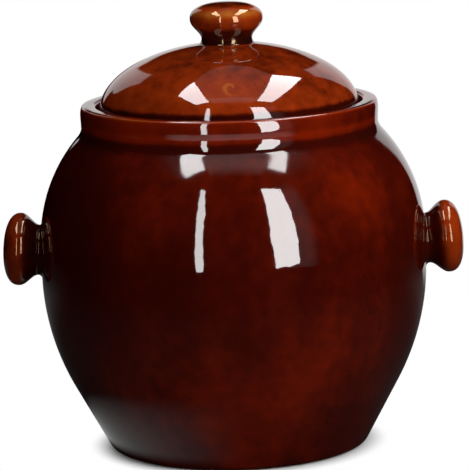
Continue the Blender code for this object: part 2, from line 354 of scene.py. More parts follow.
class GlazeLook(PropertyGroup):
    """Colours and gloss of the glaze and the clay."""

    pooled: colour("Pooled", "Glaze that has run together thickly", (0.0042, 0.0032, 0.0022))
    deep: colour("Deep", "Glaze on the belly", (0.0420, 0.0024, 0.0007))
    warm: colour("Warm", "Thinner glaze on the crock", (0.2100, 0.0120, 0.0010))
    tawny: colour("Tawny", "Thinner glaze on the lid and knobs", (0.2750, 0.0280, 0.0030))
    amber: colour("Amber", "Thin glaze on edges", (0.4000, 0.1250, 0.0140))
    clay: colour("Clay", "Bare fired stoneware", (0.4300, 0.3150, 0.2150))
    fleck: colour("Fleck", "Iron flecks in the clay", (0.1300, 0.0620, 0.0300))
    sheen: colour("Sheen", "Tint of the highlights on the knobs", (1.0, 0.72, 0.42))
    gloss: share("Gloss roughness", "Roughness of the smooth glaze", 0.035)
    ripple: length("Ripple", "Depth of the slow waves in the glaze", 0.00006)


class StudioLook(PropertyGroup):
    """Lamps, floor and camera."""

    reflector: share("Reflector brightness", "Brightness of the long reflectors", 17.5)
    key: share("Key", "Light from the right, as a share of full light", 0.66)
    low: share("Low", "Light from the front at table height", 0.30)
    top: share("Top", "Light from above", 0.52)
    fill: share("Fill", "Light from the left", 0.05)
    back: share("Back", "Light from behind", 0.48)
    sky: share("Sky", "Even light from all round", 0.04)
    floor: colour("Floor", "The pale floor", (0.80, 0.80, 0.80))
    distance: length("Distance", "From the camera to the crock", 1.900)
    elevation: angle("Elevation", "How far the camera looks down", 10.66)
    roll: angle("Roll", "Lean of the picture", -1.80)
    lens: FloatProperty(name="Lens", description="Focal length in millimetres", default=240.8)


# Profiles


def smooth(low, high, value):
    """0 below low, 1 above high and an even ease between them."""
    part = min(1.0, max(0.0, (value - low) / (high - low)))
    return part * part * (3 - 2 * part)


def onset(change, value):
    """A change that comes on between two values."""
    amount, low, high = change
    return amount * smooth(low, high, value)


def band(change, value):
    """A change that is full at a middle value, and less and less away from it."""
    amount, middle, reach = change
    return amount * math.exp(-((value - middle) / reach) ** 2)


def arc(centre, radius, start, stop, other=None):
    """Points of an arc, or of an ellipse's arc, between two angles, both ends included."""
    other = radius if other is None else other
    count = max(ROUND_STEPS, round(abs(stop - start) * max(radius, other) / ARC_STEP))
    turns = [start + (stop - start) * step / count for step in range(count + 1)]
    across, up = centre
    return [Vector((across + radius * math.cos(turn), up + other * math.sin(turn))) for turn in turns]


def leg(start, stop, step=LEG_STEP):
    """Points of a straight leg after its start."""
    start, stop = Vector(start), Vector(stop)
    count = max(1, round((stop - start).length / step))
    return [start.lerp(stop, part / count) for part in range(1, count + 1)]


def rounded(before, corner, after, radius):
    """Points of the arc that rounds the corner between two straight legs."""
    before, corner, after = Vector(before), Vector(corner), Vector(after)
    back, onward = (before - corner).normalized(), (after - corner).normalized()
    half = back.angle(onward) / 2
    centre = corner + (back + onward).normalized() * radius / math.sin(half)
    first = corner + back * radius / math.tan(half) - centre
    last = corner + onward * radius / math.tan(half) - centre
    start = math.atan2(first.y, first.x)
    turn = (math.atan2(last.y, last.x) - start + math.pi) % math.tau - math.pi
    return arc(centre, radius, start, start + turn)


def walk(path, points):
    """Go on from the end of a path through more points, with fine steps on the long leg to them."""
    path += leg(path[-1], points[0]) + points[1:]
    return path


def turn_corners(corners):
    """A path from the first of some places round the corners between, each with its radius."""
    path = [Vector(corners[0][0])]
    for (before, _), (corner, radius), (after, _) in zip(corners, corners[1:], corners[2:]):
        path = walk(path, rounded(before, corner, after, radius))
    return path


class CrockShape:
    """The crock's half section, worked out from its sizes."""

    def __init__(self, sizes):
        self.sizes = sizes
        taper_rise = sizes.belly_radius - sizes.foot_radius - sizes.lower_arc * (1 - math.cos(sizes.taper))
        taper_height = taper_rise / math.tan(sizes.taper)
        lower_height = taper_height + sizes.lower_arc * math.sin(sizes.taper)
        self.lower = Vector((sizes.belly_radius - sizes.lower_arc, lower_height))
        self.shoulder = Vector((sizes.belly_radius - sizes.shoulder_arc, self.lower.y + sizes.belly_band))
        fillet_reach = sizes.collar_radius + sizes.collar_fillet
        across = fillet_reach - self.shoulder.x
        rise = math.sqrt((sizes.shoulder_arc + sizes.collar_fillet) ** 2 - across**2)
        self.fillet = Vector((fillet_reach, self.shoulder.y + rise))
        self.touch = math.atan2(rise, across)
        self.gutter = sizes.rim_height - sizes.gutter_depth
        self.ceiling = self.gutter - sizes.gutter_floor

    def waist(self, height):
        """How far the collar draws in at a height."""
        top = self.fillet.y + WAIST_ABOVE
        low = self.fillet.y - self.sizes.collar_fillet * WAIST_FOOT_SHARE
        middle = self.fillet.y - WAIST_BELOW
        drawn = smooth(top, middle, height) * smooth(low, middle, height)
        return self.sizes.collar_waist * drawn

    def inside(self):
        """Across the floor and up the inner wall to the ceiling under the gutter."""
        sizes = self.sizes
        lower = arc(self.lower, sizes.lower_arc - sizes.wall, -sizes.taper, 0.0)
        drop = lower[0].y - sizes.floor
        corner = (lower[0].x - drop * math.tan(sizes.taper), sizes.floor)
        middle = Vector((0.0, sizes.floor))
        path = walk([middle], rounded(middle, corner, lower[0], sizes.floor_corner))
        path = walk(path, lower)
        reach = sizes.shoulder_arc - sizes.wall
        height = self.ceiling - sizes.ceiling_corner - self.shoulder.y
        across = math.sqrt((reach - sizes.ceiling_corner) ** 2 - height**2)
        touch = math.atan2(height, across)
        path = walk(path, arc(self.shoulder, reach, 0.0, touch))
        corner = self.shoulder + Vector((across, height))
        return path + arc(corner, sizes.ceiling_corner, touch, QUARTER)[1:]

    def mouth(self, start):
        """From the ceiling over the lip and through the gutter to the top of the rim."""
        sizes = self.sizes
        throat, lip = sizes.lip_radius - sizes.lip_wall, sizes.lip_radius
        inner = sizes.collar_radius - sizes.collar_wall
        bend = EDGE_SHARE * sizes.lip_wall
        corners = [
            (start, None), ((throat, self.ceiling), bend), ((throat, sizes.lip_height), bend),
            ((lip, sizes.lip_height), bend), ((lip, self.gutter), LIP_CORNER),
            ((inner, self.gutter), GUTTER_CORNER), ((inner, sizes.rim_height), None),
        ]
        rim_centre = (inner + sizes.rim_bend, sizes.rim_height - sizes.rim_bend)
        return walk(turn_corners(corners), arc(rim_centre, sizes.rim_bend, math.pi, QUARTER))[1:]

    def outside(self):
        """From the top of the rim down the collar, shoulder, belly and taper."""
        sizes = self.sizes
        rim_centre = (sizes.collar_radius - sizes.rim_inset, sizes.rim_height - sizes.rim_drop)
        path = arc(rim_centre, sizes.rim_inset, QUARTER, 0.0, sizes.rim_drop)
        path = walk(path, arc(self.fillet, sizes.collar_fillet, math.pi, math.pi + self.touch))
        path = [Vector((place.x - self.waist(place.y), place.y)) for place in path]
        path += arc(self.shoulder, sizes.shoulder_arc, self.touch, 0.0)[1:]
        return walk(path, arc(self.lower, sizes.lower_arc, 0.0, -sizes.taper))

    def foot(self, start):
        """From the taper round the foot to the middle of the underside."""
        sizes = self.sizes
        ring = sizes.foot_radius - sizes.foot_ring
        recess = sizes.foot_recess
        path = turn_corners([
            (start, None), ((sizes.foot_radius, 0.0), sizes.foot_edge), ((ring, 0.0), recess),
            ((ring - recess, recess), recess), ((0.0, recess), None),
        ])
        return (path + leg(path[-1], (0.0, recess)))[1:]

    def glaze_thinness(self, place):
        """How thin the glaze lies outside: gathered under the collar, thin on the collar and the rim, with a
        painted reflection in a band low on the collar and painted shade on the rim's top by the lid.
        """
        sizes = self.sizes
        above = place.y - self.fillet.y
        # Thinner glaze on the collar, and a painted reflection in a band low on it
        collar = onset(COLLAR_THIN, above) + band(COLLAR_PAINTED_REFLECTION, above)
        thin = BELLY_THINNESS + onset(SHOULDER_THIN, place.y) + onset(TAPER_THIN, place.y) + collar
        thin -= band(FILLET_POOL, above)
        if place.y > sizes.rim_height - RIM_FLAT:
            edge, middle = sizes.collar_radius - sizes.rim_inset, sizes.collar_radius - sizes.collar_wall / 2
            # Darker on the rim's flat top towards the lid: pooled glaze and a painted shadow
            return thin - RIM_TOP_POOL_AND_PAINTED_SHADE * smooth(edge, middle, place.x)
        return thin + band(RIM_EDGE_THIN, place.y - sizes.rim_height)

    def skin_radius(self, height):
        """Outer radius at a height on the belly or the shoulder."""
        sizes = self.sizes
        if height > self.shoulder.y:
            centre, reach = self.shoulder, sizes.shoulder_arc
        elif height < self.lower.y:
            centre, reach = self.lower, sizes.lower_arc
        else:
            return sizes.belly_radius
        return centre.x + math.sqrt(max(0.0, reach**2 - (height - centre.y) ** 2))


def lid_paths(sizes):
    """The lid's half section: over the dome, round the skirt's foot, and back under the dome."""
    edge = EDGE_SHARE * sizes.wall
    within = sizes.radius - sizes.wall
    outer = arc((0.0, sizes.skirt), sizes.radius, QUARTER, 0.0, sizes.rise)
    inner = arc((0.0, sizes.skirt), within, 0.0, QUARTER, sizes.rise - sizes.wall)
    foot = turn_corners([
        (outer[-1], None), ((sizes.radius, 0.0), edge), ((within, 0.0), edge), (inner[0], None),
    ])
    return outer, foot[1:] + leg(foot[-1], inner[0])[:-1], inner


def knob_path(sizes):
    """A knob's half section from the middle of its crown to its seat at height 0."""
    widest = sizes.flare + sizes.underside
    path = []
    for step in range(CROWN_STEPS + 1):
        across, up = math.sin(QUARTER * step / CROWN_STEPS), math.cos(QUARTER * step / CROWN_STEPS)
        height = widest + sizes.crown * max(0.0, up) ** sizes.fullness
        path.append(Vector((sizes.radius * across**sizes.fullness, height)))
    for step in range(1, UNDERSIDE_STEPS):
        down = step / UNDERSIDE_STEPS
        ease = (1 + math.cos(math.pi * down**sizes.droop)) / 2
        radius = sizes.neck + (sizes.radius - sizes.neck) * ease
        path.append(Vector((radius, widest - sizes.underside * down)))
    return path + arc((sizes.neck + sizes.flare, sizes.flare), sizes.flare, math.pi, 3 * QUARTER)


def breaks(path):
    """Glaze drawn thin on rounded edges and pooled in hollows, for each point of a half section."""
    lengths, turns = [0.0], [0.0]
    for before, here, after in zip(path, path[1:], path[2:]):
        one, two = here - before, after - here
        turns.append(-math.atan2(one.x * two.y - one.y * two.x, one.dot(two)))
        lengths.append(lengths[-1] + one.length)
    turns.append(0.0)
    lengths.append(lengths[-1] + (path[-1] - path[-2]).length)
    found = []
    for here in lengths:
        weights = [math.exp(-0.5 * ((here - there) / BREAK_REACH) ** 2) for there in lengths]
        bend = sum(weight * turn for weight, turn in zip(weights, turns))
        bend /= BREAK_REACH * math.sqrt(math.tau)
        found.append(bend * (THIN_GAIN if bend > 0 else POOL_GAIN))
    return found


# Meshes


def ripple(place, depth):
    """Slow waves of the glaze surface at a place, from 0 to depth."""
    slow = noise.noise(place * SLOW_WAVES)
    quick = noise.noise(place * QUICK_WAVES + WAVE_SHIFT)
    return depth * (0.5 + SLOW_SHARE * slow + QUICK_SHARE * quick)


def turned(name, rows, turns, place):
    """A smooth turned piece: rows of (radius, height, thinness, bare), put in place for each angle."""
    verts, thin, bare, rings = [], [], [], []
    for radius, height, thinness, bareness in rows:
        count = 1 if radius < ON_AXIS else len(turns)
        rings.append((len(verts), count))
        for turn in turns[:count]:
            verts.append(place(radius, height, turn))
            thin.append(thinness)
            bare.append(bareness)
    faces, grid = [], []
    total = len(turns)
    for level, ((one, many), (two, more)) in enumerate(zip(rings, rings[1:])):
        for step in range(total):
            after = (step + 1) % total
            corners = [(one + step % many, step, level), (two + step % more, step, level + 1),
                       (two + after % more, step + 1, level + 1), (one + after % many, step + 1, level)]
            if many == 1:
                corners = corners[:3]
            elif more == 1:
                corners = [corners[0], corners[1], corners[3]]
            faces.append([corner[0] for corner in corners])
            grid += [(across / total, 1 - down / (len(rows) - 1)) for _, across, down in corners]
    mesh = bpy.data.meshes.new(name)
    mesh.from_pydata([tuple(vert) for vert in verts], [], faces)
    mesh.polygons.foreach_set("use_smooth", [True] * len(faces))
    unwrapped = mesh.uv_layers.new(name="OFBake")
    unwrapped.uv.foreach_set("vector", [value for pair in grid for value in pair])
    for label, values in (("glaze_thin", thin), ("bare_clay", bare)):
        mesh.attributes.new(label, "FLOAT", "POINT").data.foreach_set("value", values)
    mesh.validate()
    thing = bpy.data.objects.new(name, mesh)
    bpy.context.scene.collection.objects.link(thing)
    return thing


def even_turns(count):
    """Angles all the way round, from the back."""
    return [QUARTER + math.tau * step / count for step in range(count)]


def round_about(radius, height, turn):
    """A point of a piece that is turned about the upright axis."""
    return Vector((radius * math.cos(turn), radius * math.sin(turn), height))


def settle(thing, body, slot, material, *nodes):
    """Give a piece its finish and its body, and hide the CAD nodes that it stands for; the slot is not used.
    """
    thing.data.materials.append(material)
    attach(thing, body)
    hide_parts(*nodes)


# Finishes


class Web:
    """A node tree with short ways to add and join nodes."""

    def __init__(self, tree):
        self.tree = tree

    def add(self, kind, settings=None, **inputs):
        """A node whose inputs are plain values or other nodes' outputs."""
        node = self.tree.nodes.new("ShaderNode" + kind)
        for key, value in (settings or {}).items():
            setattr(node, key, value)
        for key, value in inputs.items():
            self.put(node, key.replace("_", " "), value)
        return node

    def put(self, node, key, value):
        """Set one input, found by its name or number."""
        if isinstance(value, bpy.types.NodeSocket):
            self.tree.links.new(value, node.inputs[key])
        else:
            node.inputs[key].default_value = value

    def fill(self, node, *values):
        """Set a node's first inputs in order, and give its outputs."""
        for number, value in enumerate(values):
            self.put(node, number, value)
        return node.outputs

    def maths(self, operation, *values, clamp=False):
        """The result of one sum."""
        return self.fill(self.add("Math", {"operation": operation, "use_clamp": clamp}), *values)[0]

    def vectors(self, operation, *values):
        """The results of one sum with vectors."""
        return self.fill(self.add("VectorMath", {"operation": operation}), *values)

    def times(self, one, two):
        """The product of two values."""
        return self.maths("MULTIPLY", one, two)

    def plus(self, one, two):
        """The sum of two values."""
        return self.maths("ADD", one, two)

    def most(self, one, two):
        """The larger of two values."""
        return self.maths("MAXIMUM", one, two)

    def total(self, *parts):
        """The sum of values, each with its own strength."""
        result = None
        for value, strength in parts:
            scaled = self.times(value, strength)
            result = scaled if result is None else self.plus(result, scaled)
        return result

    def ease(self, value, low, high, start=0.0, stop=1.0):
        """A value brought from one range to another with an even ease."""
        node = self.add(
            "MapRange", {"interpolation_type": "SMOOTHSTEP"},
            Value=value, From_Min=low, From_Max=high, To_Min=start, To_Max=stop,
        )
        return node.outputs["Result"]

    def hump(self, value, rise, fall, level=1.0):
        """A level that is reached over one range of a value and left again over another."""
        return self.times(self.ease(value, *rise), self.ease(value, *fall, level, 0.0))

    def mix(self, kind, sockets, values):
        """The outputs of a mix, with values for its numbered sockets."""
        node = self.add("Mix", {"data_type": kind})
        for number, value in zip(sockets, values):
            self.put(node, number, value)
        return node.outputs

    def blend(self, part, one, two):
        """A mix of two colours."""
        return self.mix("RGBA", (0, 6, 7), (part, one, two))[2]

    def between(self, part, one, two):
        """A mix of two values."""
        return self.mix("FLOAT", (0, 2, 3), (part, one, two))[0]

    def here(self):
        """Where on the piece a point lies."""
        return self.add("TexCoord").outputs["Object"]

    def axes(self, place):
        """The X, Y and Z of a place."""
        return self.add("SeparateXYZ", Vector=place).outputs

    def cloud(self, where, scale, detail=2.0, stretch=(1.0, 1.0, 1.0), shift=0.0):
        """Soft noise about zero, stretched along the axes."""
        moved = [shift * part for part in CLOUD_SHIFT]
        mapped = self.add("Mapping", Vector=where, Location=moved, Scale=stretch)
        node = self.add("TexNoise", Vector=mapped.outputs[0], Scale=scale, Detail=detail, Roughness=0.5)
        return self.maths("SUBTRACT", node.outputs["Fac"], 0.5)

    def flecks(self, where, scale, edge, chance):
        """Small spots in some cells of a scatter: the range of a spot's edge, and of its chance."""
        cells = self.add("TexVoronoi", {"feature": "F1"}, Vector=where, Scale=scale).outputs
        spot = self.ease(cells["Distance"], *edge, 1.0, 0.0)
        drawn = self.add("SeparateColor", Color=cells["Color"]).outputs[0]
        return self.times(spot, self.ease(drawn, *chance))


def group(name, inputs, outputs):
    """A node group with named sockets: its tree, its web, what it is given, and its output node."""
    tree = bpy.data.node_groups.new(name, "ShaderNodeTree")
    for label, kind, default in inputs:
        socket = tree.interface.new_socket(label, in_out="INPUT", socket_type="NodeSocket" + kind)
        socket.default_value = default
    for label, kind in outputs:
        tree.interface.new_socket(label, in_out="OUTPUT", socket_type="NodeSocket" + kind)
    given = tree.nodes.new("NodeGroupInput").outputs
    return tree, Web(tree), given, tree.nodes.new("NodeGroupOutput")


def once(make):
    """A node group that is made when it is first asked for and found again after that."""
    return lambda: bpy.data.node_groups.get(make.__name__) or make()


@once
def glaze_flow():
    """How the glaze ran: thin and thick places, gloss and slow waves of the surface."""
    tree, web, given, result = group(
        "glaze_flow",
        [("Thinness", "Float", 0.5), ("Clouds", "Float", 0.3), ("Runs", "Float", 0.3),
         ("Mottle", "Float", 0.2), ("Flecks", "Float", 0.3), ("Gloss", "Float", 0.04)],
        [("Thinness", "Float"), ("Roughness", "Float"), ("Height", "Float")],
    )
    where = web.here()
    clouds = web.cloud(where, scale=13.0)
    runs = web.cloud(where, scale=30.0, detail=3.0, stretch=(1.0, 1.0, 0.13), shift=2.0)
    mottle = web.cloud(where, scale=125.0, detail=4.0, shift=5.0)
    fleck = web.flecks(where, scale=330.0, edge=(0.10, 0.24), chance=(0.92, 0.97))
    varied = web.total((clouds, given["Clouds"]), (runs, given["Runs"]), (mottle, given["Mottle"]))
    dark = web.times(fleck, given["Flecks"])
    thin = web.maths("SUBTRACT", web.plus(given["Thinness"], varied), dark, clamp=True)
    web.put(result, "Thinness", thin)
    smear = web.cloud(where, scale=55.0, detail=3.0, shift=9.0)
    rough = web.plus(given["Gloss"], web.total((smear, 0.035), (fleck, 0.05)))
    web.put(result, "Roughness", web.most(rough, SMOOTHEST_GLAZE))
    waves = web.cloud(where, scale=38.0, detail=1.0, shift=12.0)
    dimples = web.cloud(where, scale=140.0, detail=1.0, shift=18.0)
    peel = web.cloud(where, scale=330.0, shift=15.0)
    web.put(result, "Height", web.total((waves, 1.0), (dimples, 0.58), (peel, 0.05), (fleck, -0.06)))
    return tree


@once
def kiln_flash_and_painted_light():
    """A place where the glaze came out thinner or thicker, fading with the distance from it; on the handles
    the same spot paints light and shade, the right handle lighter and the left darker.
    """
    tree, web, given, result = group(
        "kiln_flash_and_painted_light",
        [("Place", "Vector", (0.0, 0.0, 0.0)), ("Reach", "Float", 0.05), ("Amount", "Float", 0.1)],
        [("Thinness", "Float")],
    )
    away = web.vectors("DISTANCE", web.here(), given["Place"])["Value"]
    part = web.ease(away, 0.0, given["Reach"], 1.0, 0.0)
    web.put(result, "Thinness", web.times(part, given["Amount"]))
    return tree


@once
def glaze_colour():
    """The glaze's colour from pooled black-brown through red-brown to thin amber."""
    grey = (0.1, 0.1, 0.1, 1.0)
    tree, web, given, result = group(
        "glaze_colour",
        [("Thinness", "Float", 0.5), ("Pooled", "Color", grey), ("Deep", "Color", grey),
         ("Warm", "Color", grey), ("Amber", "Color", grey)],
        [("Color", "Color")],
    )
    thin = given["Thinness"]
    mixed = web.blend(web.ease(thin, *DEEP_ONSET), given["Pooled"], given["Deep"])
    mixed = web.blend(web.ease(thin, *WARM_ONSET), mixed, given["Warm"])
    mixed = web.blend(web.ease(thin, *AMBER_ONSET), mixed, given["Amber"])
    web.put(result, "Color", mixed)
    return tree


@once
def bare_clay():
    """Fired clay without glaze: warm, grainy and flecked."""
    tree, web, given, result = group(
        "bare_clay",
        [("Clay", "Color", (0.4, 0.3, 0.2, 1.0)), ("Fleck", "Color", (0.1, 0.05, 0.03, 1.0))],
        [("Color", "Color"), ("Roughness", "Float"), ("Height", "Float")],
    )
    where = web.here()
    patches = web.cloud(where, scale=24.0, detail=4.0)
    grain = web.cloud(where, scale=900.0, detail=3.0, shift=4.0)
    fleck = web.flecks(where, scale=420.0, edge=(0.14, 0.34), chance=(0.66, 0.78))
    shade = web.maths("ADD", web.total((patches, 0.8), (grain, 0.5)), 0.5, clamp=True)
    scorched = web.blend(0.45, given["Clay"], given["Fleck"])
    warm = web.blend(shade, scorched, given["Clay"])
    web.put(result, "Color", web.blend(web.times(fleck, 0.85), warm, given["Fleck"]))
    web.put(result, "Roughness", web.plus(web.total((grain, 0.25), (patches, 0.15)), 0.74))
    web.put(result, "Height", web.total((grain, 1.0), (patches, 0.7)))
    return tree


def tone(values):
    """A colour with full alpha."""
    return (*values, 1.0)


def new_material(name):
    """A new material, its web and its surface shader."""
    material = bpy.data.materials.new(name)
    material.use_nodes = True
    web = Web(material.node_tree)
    return material, web, web.tree.nodes["Principled BSDF"]


def placed(web, tree, **inputs):
    """The outputs of a node group in a material."""
    return web.add("Group", {"node_tree": tree}, **inputs).outputs


def roughen(web, shader, height, depth):
    """Give a shader's surface its fine relief."""
    bump = web.add("Bump", Strength=1.0, Distance=depth, Height=height)
    web.put(shader, "Normal", bump.outputs["Normal"])


def glaze(
    name, look, warm, clouds, runs, mottle, flecks,
    flashes_and_painted_light=(), extra=None, haze=None, bend=1.5, tint=(1.0, 1.0, 1.0),
):
    """Glossy iron glaze over clay, bare where the piece stood in the kiln."""
    material, web, shader = new_material(name)
    thin = web.add("Attribute", {"attribute_name": "glaze_thin"}).outputs["Fac"]
    bare = web.add("Attribute", {"attribute_name": "bare_clay"}).outputs["Fac"]
    # Kiln flashes, and on the handles painted light and shade, make the glaze thinner or thicker
    for place, reach, amount in flashes_and_painted_light:
        flash_and_painted_light = placed(web, kiln_flash_and_painted_light(), Place=place, Reach=reach, Amount=amount)
        thin = web.plus(thin, flash_and_painted_light["Thinness"])
    if extra:
        thin = web.plus(thin, extra(web))
    flow = placed(
        web, glaze_flow(), Thinness=thin, Clouds=clouds, Runs=runs,
        Mottle=mottle, Flecks=flecks, Gloss=look.gloss,
    )
    coat = placed(
        web, glaze_colour(), Thinness=flow["Thinness"], Pooled=tone(look.pooled), Deep=tone(look.deep),
        Warm=tone(warm), Amber=tone(look.amber),
    )
    clay = placed(web, bare_clay(), Clay=tone(look.clay), Fleck=tone(look.fleck))
    ragged = web.cloud(web.here(), scale=260.0, detail=3.0)
    bare = web.ease(web.plus(bare, web.times(ragged, RAGGEDNESS)), *BARE_EDGE)
    web.put(shader, "Base Color", web.blend(bare, coat["Color"], clay["Color"]))
    rough = web.plus(flow["Roughness"], haze(web)) if haze else flow["Roughness"]
    web.put(shader, "Roughness", web.between(bare, rough, clay["Roughness"]))
    web.put(shader, "IOR", bend)
    web.put(shader, "Specular Tint", tone(tint))
    roughen(web, shader, web.between(bare, flow["Height"], clay["Height"]), GLAZE_BUMP)
    return material


def clay_material(name, look):
    """Bare stoneware all over."""
    material, web, shader = new_material(name)
    clay = placed(web, bare_clay(), Clay=tone(look.clay), Fleck=tone(look.fleck))
    web.put(shader, "Base Color", clay["Color"])
    web.put(shader, "Roughness", clay["Roughness"])
    roughen(web, shader, clay["Height"], CLAY_BUMP)
    return material


# Pieces


class CROCK_OT_body(Operator):
    """Make the crock with its foot, belly, collar, gutter and throat"""

    bl_idname = "crock_fermenter.body"
    bl_label = "Crock"

    def execute(self, context):
        sizes, look = context.scene.crock_sizes, context.scene.crock_glaze
        shape = CrockShape(sizes)
        inside = shape.inside()
        mouth = shape.mouth(inside[-1])
        outside = shape.outside()
        foot = shape.foot(outside[-1])
        first_out = len(inside) + len(mouth)
        path = inside + walk(mouth, outside) + foot
        first_foot = len(path) - len(foot)
        rows = []
        for number, (place, edge) in enumerate(zip(path, breaks(path))):
            thinness = INSIDE_THINNESS + edge if number < first_out else shape.glaze_thinness(place)
            under = number > first_foot and place.y < FOOT_BARE_HEIGHT
            bare = under and place.x < sizes.foot_radius - FOOT_BARE_INSET
            rows.append((place.x, place.y, thinness, 1.0 if bare else 0.0))

        def place(radius, height, turn):
            reach = radius
            within = radius < shape.skin_radius(height) - sizes.wall / 2
            if within and THROWN_LOW < height < THROWN_HIGH:
                rings = 0.5 + 0.5 * math.sin(math.tau * height / THROWN_PITCH + turn)
                reach = radius + sizes.throwing * rings
            elif radius > CROCK_CALM:
                reach = radius - ripple(round_about(radius, height, turn), look.ripple)
            return round_about(reach, height, turn)

        def haze(web):
            where = web.here()
            height = web.axes(where)["Z"]
            shoulder = web.hump(height, *SHOULDER_HAZE)
            smear = web.cloud(where, scale=30.0)
            smeared = web.total((smear, SHOULDER_SMEAR), (shoulder, SHOULDER_HAZINESS))
            rim = web.hump(height, *RIM_HAZE, RIM_HAZINESS)
            return web.plus(web.times(shoulder, smeared), rim)

        crock = turned("crock_glazed", rows, even_turns(CROCK_TURN), place)
        material = glaze(
            "crock_glaze", look, look.warm, clouds=0.20, runs=0.22, mottle=0.15, flecks=0.08,
            flashes_and_painted_light=CROCK_FLASHES, haze=haze,
        )
        settle(crock, "crock", "body_glaze", material, "crock")
        return {"FINISHED"}


class CROCK_OT_handles(Operator):
    """Make the two knob handles, luted to the curve of the belly"""

    bl_idname = "crock_fermenter.handles"
    bl_label = "Handles"

    def execute(self, context):
        sizes, look = context.scene.crock_knobs, context.scene.crock_glaze
        shape = CrockShape(context.scene.crock_sizes)
        path = knob_path(sizes)
        rows = []
        for place, edge in zip(path, breaks(path)):
            thinness = HANDLE_THINNESS + HANDLE_EDGE_SHARE * max(0.0, edge)
            # Darker from the widest part down to the neck
            rows.append((place.x, place.y, thinness - onset(HANDLE_UNDERSIDE_DARKENING, place.y), 0.0))
        for label, side in (("right", 1), ("left", -1)):
            seat = Vector((side * (shape.sizes.belly_radius - sizes.handle_inset), 0.0, sizes.handle_height))
            lean = Euler((0.0, side * (QUARTER - sizes.handle_tilt), 0.0)).to_matrix()
            outward = lean @ Vector((0.0, 0.0, 1.0))
            heart = seat + outward * (sizes.flare + sizes.underside)

            def place(radius, height, turn):
                point = seat + lean @ round_about(radius, height, turn)
                if height < sizes.flare:
                    start = seat + lean @ round_about(radius, 0.0, turn)
                    foot = start.copy()
                    for _ in range(SEAT_TRIES):
                        foot -= outward * (math.hypot(foot.x, foot.y) - shape.skin_radius(foot.z))
                    drop = (foot - start).dot(outward) - sizes.sink
                    point += outward * drop * (1 - height / sizes.flare)
                inward = (heart - point).normalized()
                return point + inward * ripple(point * KNOB_WAVES, look.ripple)

            handle = turned("handle_" + label, rows, even_turns(KNOB_TURN), place)
            # Painted light and shade: the right handle's glaze is made lighter and the left one's darker
            end = seat + Vector((side * HANDLE_PAINTED_LIGHT_OUT, 0.0, 0.0))
            flash_and_painted_light = (end, HANDLE_PAINTED_LIGHT_REACH, side * HANDLE_PAINTED_LIGHT_AMOUNT)
            material = glaze(
                "handle_" + label + "_glaze", look, look.tawny, clouds=0.20, runs=0.12, mottle=0.25,
                flecks=0.10, flashes_and_painted_light=(flash_and_painted_light,), bend=1.42, tint=look.sheen,
            )
            settle(handle, "crock", "trim_glaze", material, label + "_handle")
        return {"FINISHED"}


class CROCK_OT_lid(Operator):
    """Make the domed lid with two gas notches in its skirt"""

    bl_idname = "crock_fermenter.lid"
    bl_label = "Lid"

    def execute(self, context):
        sizes, look = context.scene.crock_lid, context.scene.crock_glaze
        outer, foot, inner = lid_paths(sizes)
        path = outer + foot + inner
        rows = []
        for number, (place, edge) in enumerate(zip(path, breaks(path))):
            thinness = LID_THINNESS + edge
            if number < len(outer):
                # Pooled glaze on the crown; pooled glaze and a painted shadow of the rim on the low edge
                thinness -= onset(LID_CROWN_POOL, place.y) + onset(LID_EDGE_POOL_AND_PAINTED_SHADE, place.y)
            under = len(outer) < number < len(outer) + len(foot) and place.y < LID_BARE_HEIGHT
            rows.append((place.x, place.y, thinness, 1.0 if under else 0.0))
        half_vent = math.asin(sizes.vent / sizes.radius)
        beside = math.sin(half_vent) * VENT_ROOM
        turns = [turn for turn in even_turns(LID_TURN) if abs(math.sin(turn)) > beside]
        for side in (0.0, math.pi):
            turns += [
                side + half_vent * math.sin(QUARTER * step / VENT_STEPS)
                for step in range(-VENT_STEPS, VENT_STEPS + 1)
            ]
        turns = sorted((turn - QUARTER) % math.tau for turn in turns)
        turns = [turn + QUARTER for turn in turns]

        def place(radius, height, turn):
            if height < sizes.skirt and radius > sizes.radius - SKIRT_REACH * sizes.wall:
                across = sizes.radius * math.sin(turn)
                vault = math.sqrt(max(0.0, sizes.vent**2 - across**2))
                height = vault + height * (1 - vault / sizes.skirt)
            point = round_about(radius, height, turn)
            wave = ripple(point, look.ripple) if radius > LID_CALM else 0.0
            return round_about(radius - wave, height + sizes.seat, turn)

        def finger_mark(web):
            offset = web.vectors("SUBTRACT", web.here(), FINGER_MARK)[0]
            away = web.vectors("LENGTH", offset)["Value"]
            parts = web.axes(offset)
            turn = web.maths("ARCTAN2", parts["Z"], parts["X"])
            wind = web.maths("COSINE", web.total((away, 1.0 / FINGER_WIND), (turn, -1.0)))
            stroke = web.times(web.ease(wind, *FINGER_EDGE), web.ease(away, *FINGER_END, 1.0, 0.0))
            return web.times(stroke, FINGER_THINNESS)

        lid = turned("lid_glazed", rows, turns, place)
        material = glaze(
            "lid_glaze", look, look.tawny, clouds=0.28, runs=0.08, mottle=0.32, flecks=0.10,
            flashes_and_painted_light=LID_FLASHES, extra=finger_mark,
        )
        settle(lid, "lid", "trim_glaze", material, "lid")
        return {"FINISHED"}


